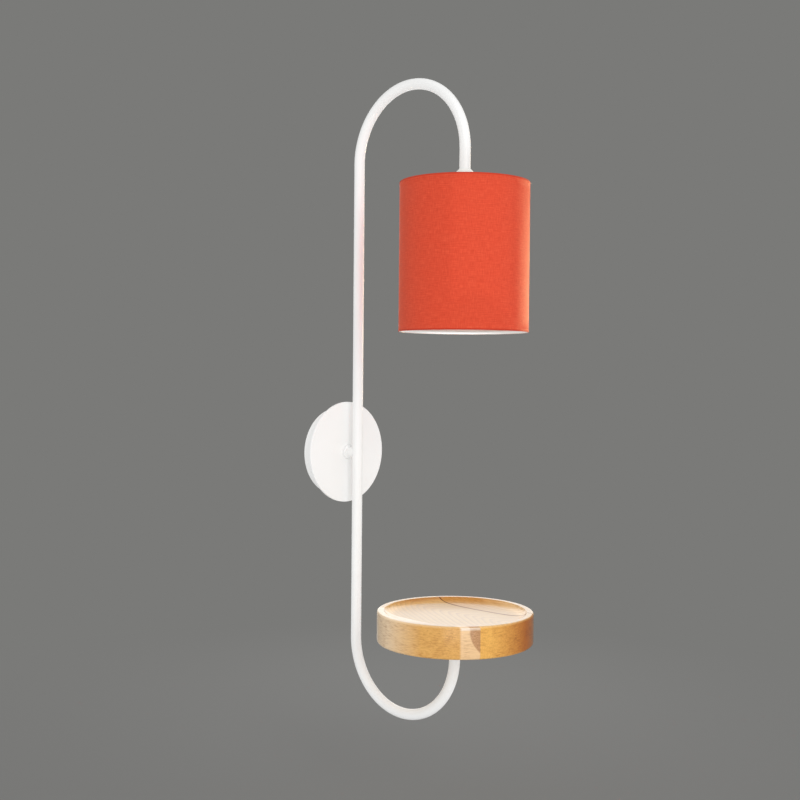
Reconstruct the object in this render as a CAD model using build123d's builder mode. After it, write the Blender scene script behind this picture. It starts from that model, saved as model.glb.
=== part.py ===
from build123d import *
import os
from math import radians, sin, sqrt, tan

# Wall lamp in millimetres: a bent tube on a round wall plate, with a drum shade hung from its upper hook
# and a turned wooden tray on its lower hook.
# The wall is the plane y = 0 and the lamp stands out from it towards -Y. +Z is up, and the origin is the
# centre of the wall plate's back face.

# Arm tube
tube_diameter = 12.0
tube_wall = 1.0
arm_standoff = 36.0  # wall to the axis of the long leg
upper_bend_radius = 80.0
upper_bend_height = 336.0  # plate centre up to the centre of the upper bend
lower_bend_radius = 76.0
lower_bend_depth = 216.0  # plate centre down to the centre of the lower bend
arm_drop = 25.0  # straight end below the upper bend
arm_rise = 15.0  # straight end above the lower bend

# Wall plate: a pressed cup with a larger disc in front
cup_diameter = 102.0
cup_depth = 16.5
cup_wall = 1.2
cup_edge_radius = 1.5
disc_diameter = 118.0
disc_thickness = 3.0
disc_edge_radius = 0.8

# Wall bracket inside the cup
bracket_width = 24.0
bracket_thickness = 2.0
bracket_clearance = 0.4
bracket_bend_radius = 1.0
ear_height = 11.0
slot_spacing = 60.0
slot_length = 12.0
slot_width = 5.0
cable_hole_diameter = 14.0

# Screws through the cup's side into the bracket's ears
side_screw_diameter = 4.0
side_screw_length = 8.0
side_screw_head_diameter = 7.0
side_screw_head_height = 2.4
side_screw_depth = 7.5  # wall to the screw's axis

# Boss between the wall plate and the arm
collar_diameter = 16.0
collar_thickness = 3.0
collar_edge_radius = 0.8
stub_step = 0.4  # stub's diameter below the tube's
boss_nipple_diameter = 8.0
boss_nipple_bore = 5.6
boss_nipple_grip = 6.5  # thread inside the stub
boss_nipple_tail = 0.8  # thread past the lock nut
washer_diameter = 16.0
washer_thickness = 1.0
nut_across_flats = 13.0
nut_thickness = 4.0
thread_clearance = 0.05
hole_clearance = 0.2
driver_slot = 0.9  # slot width in every screw's head

# Terminal block on the cup's inner face
block_offset = 27.0
block_width = 17.0
block_base = 3.0
block_height = 11.0
pole_pitch = 11.0
pole_count = 3
barrel_diameter = 8.0
barrel_height = 4.5  # cup's inner face to the barrel's axis
clamp_diameter = 5.0
clamp_bore = 3.2
clamp_length = 14.0
tower_diameter = 6.4
tower_spacing = 8.6
terminal_screw_diameter = 2.5
terminal_head_diameter = 3.6
terminal_head_height = 1.6
block_screw_diameter = 3.0
block_head_diameter = 5.2
block_head_height = 2.0

# Earth tag and its screw
earth_x = -6.0
earth_z = -26.0
earth_screw_diameter = 4.0
earth_head_diameter = 7.5
earth_head_height = 2.5
tag_diameter = 9.0
tag_thickness = 0.8
tag_barrel_diameter = 4.0
tag_barrel_bore = 2.4
tag_barrel_length = 6.5

# Wires
wire_diameter = 2.0
wire_spacing = 2.4  # live to neutral, side by side in the tube
wire_insertion = 4.0
wire_lift = 3.4  # wall to the wires where they turn into the nipple
wire_turn = 4.2
wire_bend = 5.0
wire_arm_bend = 9.0  # from the nipple up into the tube
wire_split = 11.0  # tube's end down to where the wires part
wire_head_bend = 4.0
wire_lug_bend = 2.0

# Tray
tray_diameter = 170.0
tray_thickness = 34.0
tray_rim_width = 7.5
tray_recess = 7.0
tray_cove_slope = 54.0  # degrees, where the recess's wall meets the rim
tray_cove_share = 0.95  # part of that wall taken up by the cove
tray_outer_chamfer = 1.0
tray_inner_chamfer = 0.5
tray_bottom_edge_radius = 3.0
board_width = 91.0
board_shift = 0.5  # middle board's centre from the tray's axis
flange_diameter = 60.0
flange_thickness = 3.0
flange_edge_radius = 0.8
tray_screw_circle = 44.0
tray_screw_count = 3
tray_screw_diameter = 4.0
tray_screw_head_diameter = 7.6
tray_screw_head_height = 2.2
tray_screw_length = 20.0
tray_screw_tip = 5.0

# Lampholder
head_nipple_bore = 7.0
head_nipple_grip = 9.0  # thread at each side of the tube's end
cap_diameter = 40.0
cap_height = 28.0
cap_wall = 2.0
cap_boss_wall = 3.4
cap_corner_radius = 3.0
spigot_height = 6.0
spigot_wall = 1.9
shoulder_diameter = 46.0
shoulder_thickness = 3.0
skirt_diameter = 39.0
skirt_length = 22.0
ledge_width = 1.0
core_thickness = 7.5
shell_bore = 26.6
shell_wall = 0.5
shell_inset = 1.5  # shell's rim above the mouth
shell_hole_diameter = 14.0
contact_width = 5.0
contact_thickness = 0.5
contact_reach = 6.0
contact_drop = 2.5
lug_size = 6.0
lug_height = 5.5
lug_offset = 8.0
lug_bore = 2.6
lug_screw_diameter = 2.8
lug_head_diameter = 4.4
lug_head_height = 1.5

# Shade
shade_diameter = 140.0
shade_height = 160.0
cover_thickness = 0.6
liner_thickness = 0.5
glue_gap = 0.05
ring_wire_diameter = 3.0
ring_inset = 0.6  # wire ring below the shade's edge
frame_recess = 18.0  # shade's top edge above the holder's seat
frame_ring_diameter = 54.0
frame_ring_thickness = 1.6
frame_arm_count = 3
frame_arm_flat = 13.0  # level run at the arm's inner end
frame_arm_bend = 12.0
shade_nut_diameter = 46.0
shade_nut_height = 8.0
shade_nut_flange = 47.6
shade_nut_flange_height = 2.0
shade_nut_rib_diameter = 1.6
shade_nut_rib_count = 24

# Bulb with a screw cap
bulb_diameter = 60.0
bulb_length = 108.0
bulb_contact_diameter = 10.0
bulb_contact_height = 1.5
bulb_insulator_height = 4.5
bulb_insulator_diameter = 24.0
bulb_cap_clearance = 0.3
bulb_cap_length = 20.0
bulb_collar_step = 0.6
bulb_housing_height = 35.0
bulb_running_gap = 0.3

# Places worked out from the sizes above
tube_radius = tube_diameter / 2
tube_bore = tube_diameter - 2 * tube_wall
head_reach = arm_standoff + 2 * upper_bend_radius
tray_reach = arm_standoff + 2 * lower_bend_radius
head_axis = Axis((0, -head_reach, 0), (0, 0, 1))
tray_axis = Axis((0, -tray_reach, 0), (0, 0, 1))
arm_top_end = upper_bend_height - arm_drop
arm_low_end = arm_rise - lower_bend_depth
cup_face = cup_depth - cup_wall
plate_face = cup_depth + disc_thickness
stub_base = plate_face + collar_thickness
nut_back = cup_face - washer_thickness - nut_thickness
nipple_hole = boss_nipple_diameter + 2 * hole_clearance
cup_bore_radius = cup_diameter / 2 - cup_wall
ear_reach = sqrt((cup_bore_radius - bracket_clearance) ** 2 - (bracket_width / 2) ** 2)
block_plane = Plane((block_offset, -cup_face, 0), x_dir=(1, 0, 0), z_dir=(0, 1, 0))
earth_plane = Plane((earth_x, -cup_face, earth_z), x_dir=(1, 0, 0), z_dir=(0, 1, 0))
block_length = pole_count * pole_pitch
tray_bottom = arm_low_end + flange_thickness
holder_seat = arm_top_end - cap_height - shoulder_thickness
cap_bottom = arm_top_end - cap_height
holder_mouth = holder_seat - skirt_length
core_top = cap_bottom + spigot_height
core_bottom = core_top - core_thickness
shade_top = holder_seat + frame_recess
shade_bottom = shade_top - shade_height
liner_radius = shade_diameter / 2 - cover_thickness - glue_gap
ring_radius = liner_radius - liner_thickness - glue_gap - ring_wire_diameter / 2
bulb_top = core_bottom - contact_drop - bulb_running_gap
bulb_cap_radius = shell_bore / 2 - bulb_cap_clearance
upright = (Align.CENTER, Align.CENTER, Align.MIN)

os.makedirs("parts", exist_ok=True)


def keep(builder, name):
    """Label a finished piece and write its file."""
    builder.part.label = name
    export_step(builder.part, f"parts/{name}.step")


def section(axis, points, radii=None):
    """A closed outline of (radius, height) points beside an upright axis, with a radius for each corner."""
    with BuildSketch(Plane(axis.position, x_dir=(1, 0, 0), z_dir=(0, -1, 0))) as outline:
        with BuildLine():
            FilletPolyline(points, radius=radii or [0] * len(points), close=True)
        make_face()
    return outline.sketch


def wire_along(path):
    """A round wire swept along a path of straight runs and tangent arcs."""
    with BuildSketch(Plane(path @ 0, z_dir=path % 0)) as end:
        Circle(wire_diameter / 2)
    return sweep(end.sketch, path=path, mode=Mode.PRIVATE)


# Wall bracket: a crossbar with two slots for wall screws and an ear at each end
with BuildPart() as wall_bracket:
    with BuildSketch(Plane.XZ):
        Rectangle(bracket_width, 2 * ear_reach)
        with GridLocations(0, slot_spacing, 1, 2):
            SlotOverall(slot_length, slot_width, rotation=90, mode=Mode.SUBTRACT)
        Circle(cable_hole_diameter / 2, mode=Mode.SUBTRACT)
    extrude(amount=bracket_thickness)
    with BuildSketch(Plane.XZ.offset(bracket_thickness)):
        with GridLocations(0, 2 * ear_reach - bracket_thickness, 1, 2):
            Rectangle(bracket_width, bracket_thickness)
    extrude(amount=ear_height - bracket_thickness)
    inner_bends = wall_bracket.edges().filter_by(Axis.X).group_by(Axis.Y)[-2]
    fillet(inner_bends, bracket_bend_radius)
    outer_bends = wall_bracket.edges().filter_by(Axis.X).group_by(Axis.Y)[-1]
    fillet(outer_bends, bracket_bend_radius + bracket_thickness)
    with Locations((0, -side_screw_depth, 0)):
        Cylinder(side_screw_diameter / 2 + thread_clearance, 2 * cup_diameter, mode=Mode.SUBTRACT)
keep(wall_bracket, "wall_bracket")

# Mounting cup: the wall plate's smaller rear tier, open towards the wall
with BuildPart() as mounting_cup:
    with BuildSketch(Plane.XZ):
        Circle(cup_diameter / 2)
    extrude(amount=cup_depth)
    fillet(mounting_cup.faces().sort_by(Axis.Y)[0].edges(), cup_edge_radius)
    with BuildSketch(Plane.XZ):
        Circle(cup_bore_radius)
    extrude(amount=cup_face, mode=Mode.SUBTRACT)
    with BuildSketch(Plane.XZ.offset(cup_face)):
        Circle(nipple_hole / 2)
        with Locations((block_offset, pole_pitch / 2)):
            Circle(block_screw_diameter / 2 + thread_clearance)
        with Locations((earth_x, earth_z)):
            Circle(earth_screw_diameter / 2 + thread_clearance)
    extrude(amount=cup_wall, mode=Mode.SUBTRACT)
    with Locations((0, -side_screw_depth, 0)):
        Cylinder(side_screw_diameter / 2 + hole_clearance, 2 * cup_diameter, mode=Mode.SUBTRACT)
keep(mounting_cup, "mounting_cup")

# Front disc: the flat plate that overhangs the cup
with BuildPart() as front_disc:
    with BuildSketch(Plane.XZ.offset(cup_depth)):
        Circle(disc_diameter / 2)
        Circle(nipple_hole / 2, mode=Mode.SUBTRACT)
    extrude(amount=disc_thickness)
    fillet(front_disc.edges().filter_by(GeomType.CIRCLE).sort_by(SortBy.RADIUS)[-2:], disc_edge_radius)
keep(front_disc, "front_disc")

# Side screws: round heads with a slot, one above and one below
with BuildPart() as side_screws:
    for side in (1, -1):
        with Locations(Plane((0, -side_screw_depth, side * cup_diameter / 2), z_dir=(0, 0, side))):
            Cylinder(side_screw_head_diameter / 2, side_screw_head_height, align=upright)
            with Locations((0, 0, -side_screw_length)):
                Cylinder(side_screw_diameter / 2, side_screw_length, align=upright)
    fillet(side_screws.faces().sort_by(Axis.Z)[0].edges(), side_screw_head_height / 2)
    fillet(side_screws.faces().sort_by(Axis.Z)[-1].edges(), side_screw_head_height / 2)
    with Locations((0, -side_screw_depth, cup_diameter / 2 + side_screw_head_height),
                   (0, -side_screw_depth, -cup_diameter / 2 - side_screw_head_height)):
        Box(side_screw_head_diameter, driver_slot, side_screw_head_height, mode=Mode.SUBTRACT)
keep(side_screws, "side_screws")

# Boss nipple: the hollow thread that carries the arm and lets the wires through
with BuildPart() as boss_nipple:
    with BuildSketch(Plane.XZ.offset(nut_back - boss_nipple_tail)):
        Circle(boss_nipple_diameter / 2)
        Circle(boss_nipple_bore / 2, mode=Mode.SUBTRACT)
    extrude(amount=stub_base + boss_nipple_grip - nut_back + boss_nipple_tail)
keep(boss_nipple, "boss_nipple")

# Lock washer and nut behind the cup's face
with BuildPart() as lock_washer:
    with BuildSketch(Plane.XZ.offset(cup_face - washer_thickness)):
        Circle(washer_diameter / 2)
        Circle(nipple_hole / 2, mode=Mode.SUBTRACT)
    extrude(amount=washer_thickness)
keep(lock_washer, "lock_washer")

with BuildPart() as lock_nut:
    with BuildSketch(Plane.XZ.offset(nut_back)):
        RegularPolygon(nut_across_flats / 2, 6, major_radius=False)
        Circle(boss_nipple_diameter / 2 + thread_clearance, mode=Mode.SUBTRACT)
    extrude(amount=nut_thickness)
keep(lock_nut, "lock_nut")

# Boss collar: the small round flange on the disc
with BuildPart() as boss_collar:
    with BuildSketch(Plane.XZ.offset(plate_face)):
        Circle(collar_diameter / 2)
        Circle(nipple_hole / 2, mode=Mode.SUBTRACT)
    extrude(amount=collar_thickness)
    front_edges = boss_collar.faces().sort_by(Axis.Y)[0].edges()
    fillet(front_edges.sort_by(SortBy.RADIUS)[-1], collar_edge_radius)
keep(boss_collar, "boss_collar")

# Boss stub: coped to the tube and welded to it, tapped for the nipple
with BuildPart() as boss_stub:
    with BuildSketch(Plane.XZ.offset(stub_base)):
        Circle((tube_diameter - stub_step) / 2)
        Circle(boss_nipple_diameter / 2 + thread_clearance, mode=Mode.SUBTRACT)
    extrude(amount=arm_standoff - stub_base)
    with Locations((0, -arm_standoff, 0)):
        Cylinder(tube_radius, 2 * tube_diameter, mode=Mode.SUBTRACT)
keep(boss_stub, "boss_stub")

# Terminal block: three barrels on a base, each with two screw towers
with BuildPart(block_plane) as terminal_block:
    Box(block_width, block_length, block_base, align=upright)
    with GridLocations(0, pole_pitch, 1, pole_count):
        with Locations((0, 0, barrel_height)):
            Cylinder(barrel_diameter / 2, block_width, rotation=(0, 90, 0))
    with GridLocations(tower_spacing, pole_pitch, 2, pole_count):
        Cylinder(tower_diameter / 2, block_height, align=upright)
    with GridLocations(0, pole_pitch, 1, pole_count):
        with Locations((0, 0, barrel_height)):
            Cylinder(clamp_diameter / 2, block_width, rotation=(0, 90, 0), mode=Mode.SUBTRACT)
    with GridLocations(tower_spacing, pole_pitch, 2, pole_count):
        with Locations((0, 0, barrel_height)):
            Cylinder(terminal_head_diameter / 2 + hole_clearance, block_height, align=upright,
                     mode=Mode.SUBTRACT)
    with Locations((0, -pole_pitch / 2, 0)):
        Cylinder(block_screw_diameter / 2 + hole_clearance, block_height, align=upright,
                 mode=Mode.SUBTRACT)
        with Locations((0, 0, block_base)):
            Cylinder(block_head_diameter / 2 + hole_clearance, block_height, align=upright,
                     mode=Mode.SUBTRACT)
keep(terminal_block, "terminal_block")

# Brass clamps in the barrels, tapped for two screws each
with BuildPart(block_plane) as terminal_clamps:
    with GridLocations(0, pole_pitch, 1, pole_count):
        with Locations((0, 0, barrel_height)):
            Cylinder(clamp_diameter / 2, clamp_length, rotation=(0, 90, 0))
            Cylinder(clamp_bore / 2, clamp_length, rotation=(0, 90, 0), mode=Mode.SUBTRACT)
    with GridLocations(tower_spacing, pole_pitch, 2, pole_count):
        with Locations((0, 0, barrel_height)):
            Cylinder(terminal_screw_diameter / 2 + thread_clearance, clamp_diameter, align=upright,
                     mode=Mode.SUBTRACT)
keep(terminal_clamps, "terminal_clamps")

# Terminal screws, their tips just over the wires
with BuildPart(block_plane) as terminal_screws:
    screw_tip = barrel_height + wire_diameter / 2 + thread_clearance
    head_base = block_height - 2 * terminal_head_height
    with GridLocations(tower_spacing, pole_pitch, 2, pole_count):
        with Locations((0, 0, screw_tip)):
            Cylinder(terminal_screw_diameter / 2, head_base - screw_tip, align=upright)
        with Locations((0, 0, head_base)):
            Cylinder(terminal_head_diameter / 2, terminal_head_height, align=upright)
        with Locations((0, 0, head_base + terminal_head_height)):
            Box(terminal_head_diameter, driver_slot, terminal_head_height, mode=Mode.SUBTRACT)
keep(terminal_screws, "terminal_screws")

# Screw that holds the block to the cup
with BuildPart(block_plane) as block_screw:
    with Locations((0, -pole_pitch / 2, -cup_wall)):
        Cylinder(block_screw_diameter / 2, cup_wall + block_base, align=upright)
    with Locations((0, -pole_pitch / 2, block_base)):
        Cylinder(block_head_diameter / 2, block_head_height, align=upright)
    with Locations((0, -pole_pitch / 2, block_base + block_head_height)):
        Box(block_head_diameter, driver_slot, block_head_height, mode=Mode.SUBTRACT)
keep(block_screw, "block_screw")

# Earth tag: a ring under the screw's head with a crimped barrel beside it
with BuildPart(earth_plane) as earth_tag:
    barrel_start = earth_head_diameter / 2 + hole_clearance
    Cylinder(tag_diameter / 2, tag_thickness, align=upright)
    Box(barrel_start + tag_barrel_length, tag_barrel_diameter, tag_thickness,
        align=(Align.MIN, Align.CENTER, Align.MIN))
    with Locations((barrel_start, 0, tag_barrel_diameter / 2)):
        Cylinder(tag_barrel_diameter / 2, tag_barrel_length, rotation=(0, 90, 0), align=upright)
        Cylinder(tag_barrel_bore / 2, tag_barrel_length, rotation=(0, 90, 0), align=upright,
                 mode=Mode.SUBTRACT)
    Cylinder(earth_screw_diameter / 2 + hole_clearance, tag_thickness, align=upright, mode=Mode.SUBTRACT)
keep(earth_tag, "earth_tag")

with BuildPart(earth_plane) as earth_screw:
    with Locations((0, 0, -cup_wall)):
        Cylinder(earth_screw_diameter / 2, cup_wall + tag_thickness, align=upright)
    with Locations((0, 0, tag_thickness)):
        Cylinder(earth_head_diameter / 2, earth_head_height, align=upright)
    with Locations((0, 0, tag_thickness + earth_head_height)):
        Box(earth_head_diameter, driver_slot, earth_head_height, mode=Mode.SUBTRACT)
        Box(driver_slot, earth_head_diameter, earth_head_height, mode=Mode.SUBTRACT)
keep(earth_screw, "earth_screw")

# Arm tube: one length bent twice, with a side hole for the wires at the boss
with BuildPart() as arm_tube:
    with BuildLine(Plane.YZ) as arm_line:
        Line((-tray_reach, arm_low_end), (-tray_reach, -lower_bend_depth))
        CenterArc((-arm_standoff - lower_bend_radius, -lower_bend_depth), lower_bend_radius, 180, 180)
        Line((-arm_standoff, -lower_bend_depth), (-arm_standoff, upper_bend_height))
        CenterArc((-arm_standoff - upper_bend_radius, upper_bend_height), upper_bend_radius, 0, 180)
        Line((-head_reach, upper_bend_height), (-head_reach, arm_top_end))
    with BuildSketch(Plane((0, -tray_reach, arm_low_end), z_dir=(0, 0, -1))):
        Circle(tube_radius)
        Circle(tube_bore / 2, mode=Mode.SUBTRACT)
    sweep(path=arm_line.wire())
    with Locations((0, -arm_standoff + tube_radius, 0)):
        Cylinder(boss_nipple_diameter / 2, tube_diameter, rotation=(90, 0, 0), mode=Mode.SUBTRACT)
keep(arm_tube, "arm_tube")

# Live and neutral wires: from the block through the boss, up inside the tube and down into the lampholder
clamp_depth = cup_face - barrel_height
clamp_x = block_offset - block_width / 2
lift_x = 2 * wire_turn
arm_summit = (-arm_standoff - upper_bend_radius, upper_bend_height + upper_bend_radius)
for name, side, pole in (("live_wire", -1, 1), ("neutral_wire", 1, 0)):
    lane = side * wire_spacing / 2
    start_z = pole * pole_pitch
    in_cup = [
        (clamp_x + wire_insertion, -clamp_depth, start_z),
        (lift_x + clamp_depth - wire_lift, -clamp_depth, start_z),
        (lift_x, -wire_lift, start_z),
    ]
    cup_radii = [wire_bend, wire_bend]
    if pole:
        in_cup.append((lane, -wire_lift, start_z))
        cup_radii.append(wire_bend)
    in_arm = [(lane, -wire_lift, 0), (lane, -arm_standoff, 0), (lane, -arm_standoff, upper_bend_height)]
    in_head = [
        (lane, -head_reach, upper_bend_height),
        (lane, -head_reach, arm_top_end - wire_split),
        (side * lug_offset, -head_reach, core_top + lug_height + wire_diameter),
        (side * lug_offset, -head_reach, core_top + wire_diameter),
    ]
    with BuildLine() as wire_line:
        FilletPolyline(in_cup + in_arm, radius=cup_radii + [wire_turn, wire_arm_bend])
        ThreePointArc(in_arm[-1], (lane, *arm_summit), in_head[0])
        FilletPolyline(in_head, radius=[wire_head_bend, wire_lug_bend])
    with BuildPart() as wire:
        add(wire_along(wire_line.wire()))
    keep(wire, name)

# Earth wire: from the third pole to the tag
with BuildLine() as earth_line:
    tag_z = earth_z
    tag_depth = cup_face - tag_barrel_diameter / 2
    tag_mouth = earth_x + earth_head_diameter / 2 + hole_clearance + tag_barrel_length
    FilletPolyline(
        (clamp_x + wire_insertion, -clamp_depth, -pole_pitch),
        (tag_mouth + wire_bend + wire_diameter, -clamp_depth, -pole_pitch),
        (tag_mouth + wire_bend + wire_diameter, -tag_depth, tag_z),
        (tag_mouth - wire_insertion, -tag_depth, tag_z),
        radius=wire_bend,
    )
with BuildPart() as earth_wire:
    add(wire_along(earth_line.wire()))
keep(earth_wire, "earth_wire")

# Tray flange: a disc welded to the tube's lower end, countersunk from below
with BuildPart(Plane((0, -tray_reach, arm_low_end))) as tray_flange:
    Cylinder(flange_diameter / 2, flange_thickness, align=upright)
    fillet(tray_flange.faces().sort_by(Axis.Z)[0].edges(), flange_edge_radius)
    with PolarLocations(tray_screw_circle / 2, tray_screw_count, start_angle=90):
        Cylinder(tray_screw_diameter / 2 + hole_clearance, flange_thickness, align=upright,
                 mode=Mode.SUBTRACT)
        Cone(tray_screw_head_diameter / 2 + hole_clearance, tray_screw_diameter / 2 + hole_clearance,
             tray_screw_head_height, align=upright, mode=Mode.SUBTRACT)
keep(tray_flange, "tray_flange")

# Tray screws: countersunk wood screws with a pointed tip and a cross in the head
with BuildPart(Plane((0, -tray_reach, arm_low_end))) as tray_screws:
    with PolarLocations(tray_screw_circle / 2, tray_screw_count, start_angle=90):
        Cone(tray_screw_head_diameter / 2, tray_screw_diameter / 2, tray_screw_head_height, align=upright)
        Cylinder(tray_screw_diameter / 2, tray_screw_length - tray_screw_tip, align=upright)
        with Locations((0, 0, tray_screw_length - tray_screw_tip)):
            Cone(tray_screw_diameter / 2, 0, tray_screw_tip, align=upright)
        Box(tray_screw_diameter, driver_slot, tray_screw_head_height, mode=Mode.SUBTRACT)
        Box(driver_slot, tray_screw_diameter, tray_screw_head_height, mode=Mode.SUBTRACT)
keep(tray_screws, "tray_screws")

# Tray boards: three boards glued edge to edge, then turned to a round tray with a coved recess
tray_radius = tray_diameter / 2
tray_top = tray_bottom + tray_thickness
tray_floor = tray_top - tray_recess
recess_radius = tray_radius - tray_rim_width
cove_drop = tray_recess - tray_inner_chamfer
cove_slope = radians(tray_cove_slope)
cove_run = cove_drop / tan(cove_slope)
cove_radius = tray_cove_share * cove_drop / sin(cove_slope) / tan(cove_slope / 2)
left_joint = board_shift - board_width / 2
right_joint = board_shift + board_width / 2
tray_section = section(
    tray_axis,
    [
        (0, tray_bottom),
        (tray_radius, tray_bottom),
        (tray_radius, tray_top - tray_outer_chamfer),
        (tray_radius - tray_outer_chamfer, tray_top),
        (recess_radius + tray_inner_chamfer, tray_top),
        (recess_radius, tray_top - tray_inner_chamfer),
        (recess_radius - cove_run, tray_floor),
        (0, tray_floor),
    ],
    [0, tray_bottom_edge_radius, 0, 0, 0, 0, cove_radius, 0],
)
boards = (
    ("tray_board_left", None, left_joint),
    ("tray_board_middle", left_joint, right_joint),
    ("tray_board_right", right_joint, None),
)
for name, low_x, high_x in boards:
    with BuildPart() as board:
        revolve(tray_section, axis=tray_axis)
        if low_x is not None:
            split(bisect_by=Plane.YZ.offset(low_x), keep=Keep.TOP)
        if high_x is not None:
            split(bisect_by=Plane.YZ.offset(high_x), keep=Keep.BOTTOM)
        with Locations((0, -tray_reach, arm_low_end)):
            with PolarLocations(tray_screw_circle / 2, tray_screw_count, start_angle=90):
                Cylinder(tray_screw_diameter / 2 + thread_clearance, tray_screw_length, align=upright,
                         mode=Mode.SUBTRACT)
    keep(board, name)

# Head nipple: joins the tube's end to the lampholder's cap
head_nipple_radius = tube_bore / 2 - thread_clearance
with BuildPart() as head_nipple:
    revolve(section(head_axis, [
        (head_nipple_bore / 2, arm_top_end - head_nipple_grip),
        (head_nipple_radius, arm_top_end - head_nipple_grip),
        (head_nipple_radius, arm_top_end + head_nipple_grip),
        (head_nipple_bore / 2, arm_top_end + head_nipple_grip),
    ]), axis=head_axis)
keep(head_nipple, "head_nipple")

# Holder cap: a cone that widens from the tube to a short cylinder, with a tapped boss inside
cap_radius = cap_diameter / 2
cap_bore = cap_radius - cap_wall
cone_height = cap_radius - tube_radius
boss_radius = tube_bore / 2 + cap_boss_wall
cone_wall = cap_wall * sqrt(2)
boss_join = arm_top_end - cone_wall - (boss_radius - tube_radius)
with BuildPart() as holder_cap:
    revolve(section(head_axis, [
        (tube_bore / 2, arm_top_end),
        (tube_radius, arm_top_end),
        (cap_radius, arm_top_end - cone_height),
        (cap_radius, cap_bottom),
        (cap_bore, cap_bottom),
        (cap_bore, arm_top_end - cone_height - cone_wall + cap_wall),
        (boss_radius, boss_join),
        (boss_radius, arm_top_end - head_nipple_grip - cap_wall),
        (tube_bore / 2, arm_top_end - head_nipple_grip - cap_wall),
    ], [0, 0, cap_corner_radius, 0, 0, 0, 0, 0, 0]), axis=head_axis)
keep(holder_cap, "holder_cap")

# Holder body: spigot in the cap, shoulder for the shade and a skirt for the shade nut
spigot_radius = cap_bore - thread_clearance
core_radius = spigot_radius - spigot_wall
ledge_radius = core_radius - ledge_width
with BuildPart() as holder_body:
    revolve(section(head_axis, [
        (ledge_radius, holder_mouth),
        (skirt_diameter / 2, holder_mouth),
        (skirt_diameter / 2, holder_seat),
        (shoulder_diameter / 2, holder_seat),
        (shoulder_diameter / 2, cap_bottom),
        (spigot_radius, cap_bottom),
        (spigot_radius, core_top),
        (core_radius, core_top),
        (core_radius, core_bottom),
        (ledge_radius, core_bottom),
    ]), axis=head_axis)
keep(holder_body, "holder_body")

# Holder core: the insulating disc on the body's ledge
with BuildPart() as holder_core:
    with Locations((0, -head_reach, core_bottom)):
        Cylinder(core_radius - thread_clearance, core_thickness, align=upright)
keep(holder_core, "holder_core")

# Terminal lugs on the core, each with a hole for its wire and a side screw
lug_middle = core_top + lug_height / 2
with BuildPart() as holder_terminals:
    with Locations((lug_offset, -head_reach, core_top), (-lug_offset, -head_reach, core_top)):
        Box(lug_size, lug_size, lug_height, align=upright)
        Cylinder(lug_bore / 2, lug_height, align=upright, mode=Mode.SUBTRACT)
    with Locations((0, -head_reach, lug_middle)):
        Cylinder(lug_screw_diameter / 2 + thread_clearance, 2 * lug_offset + lug_size, rotation=(0, 90, 0),
                 mode=Mode.SUBTRACT)
        Box(2 * lug_offset - lug_size, lug_size, lug_height, mode=Mode.SUBTRACT)
keep(holder_terminals, "holder_terminals")

with BuildPart() as holder_terminal_screws:
    screw_start = lug_offset + wire_diameter / 2 + thread_clearance
    lug_face = lug_offset + lug_size / 2
    for side in (1, -1):
        with Locations(Plane((0, -head_reach, lug_middle), z_dir=(side, 0, 0))):
            with Locations((0, 0, screw_start)):
                Cylinder(lug_screw_diameter / 2, lug_face - screw_start, align=upright)
            with Locations((0, 0, lug_face)):
                Cylinder(lug_head_diameter / 2, lug_head_height, align=upright)
            with Locations((0, 0, lug_face + lug_head_height)):
                Box(lug_head_diameter, driver_slot, lug_head_height, mode=Mode.SUBTRACT)
keep(holder_terminal_screws, "holder_terminal_screws")

# Socket shell: the metal sleeve that takes the bulb's cap, hung under the core
shell_radius = shell_bore / 2
with BuildPart() as socket_shell:
    revolve(section(head_axis, [
        (shell_hole_diameter / 2, core_bottom - shell_wall),
        (shell_radius, core_bottom - shell_wall),
        (shell_radius, holder_mouth + shell_inset),
        (shell_radius + shell_wall, holder_mouth + shell_inset),
        (shell_radius + shell_wall, core_bottom),
        (shell_hole_diameter / 2, core_bottom),
    ]), axis=head_axis)
keep(socket_shell, "socket_shell")

# Centre contact: a bent spring strip under the core
bend_in = contact_reach / 2 - contact_thickness
with BuildPart() as centre_contact:
    with BuildSketch(Plane((0, -head_reach, core_bottom), x_dir=(1, 0, 0), z_dir=(0, -1, 0))):
        with BuildLine():
            Polyline(
                (-contact_reach, 0),
                (-bend_in, 0),
                (bend_in, contact_thickness - contact_drop),
                (contact_reach, contact_thickness - contact_drop),
                (contact_reach, -contact_drop),
                (bend_in - contact_thickness / 2, -contact_drop),
                (-bend_in - contact_thickness / 2, -contact_thickness),
                (-contact_reach, -contact_thickness),
                close=True,
            )
        make_face()
    extrude(amount=contact_width / 2, both=True)
keep(centre_contact, "centre_contact")

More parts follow.
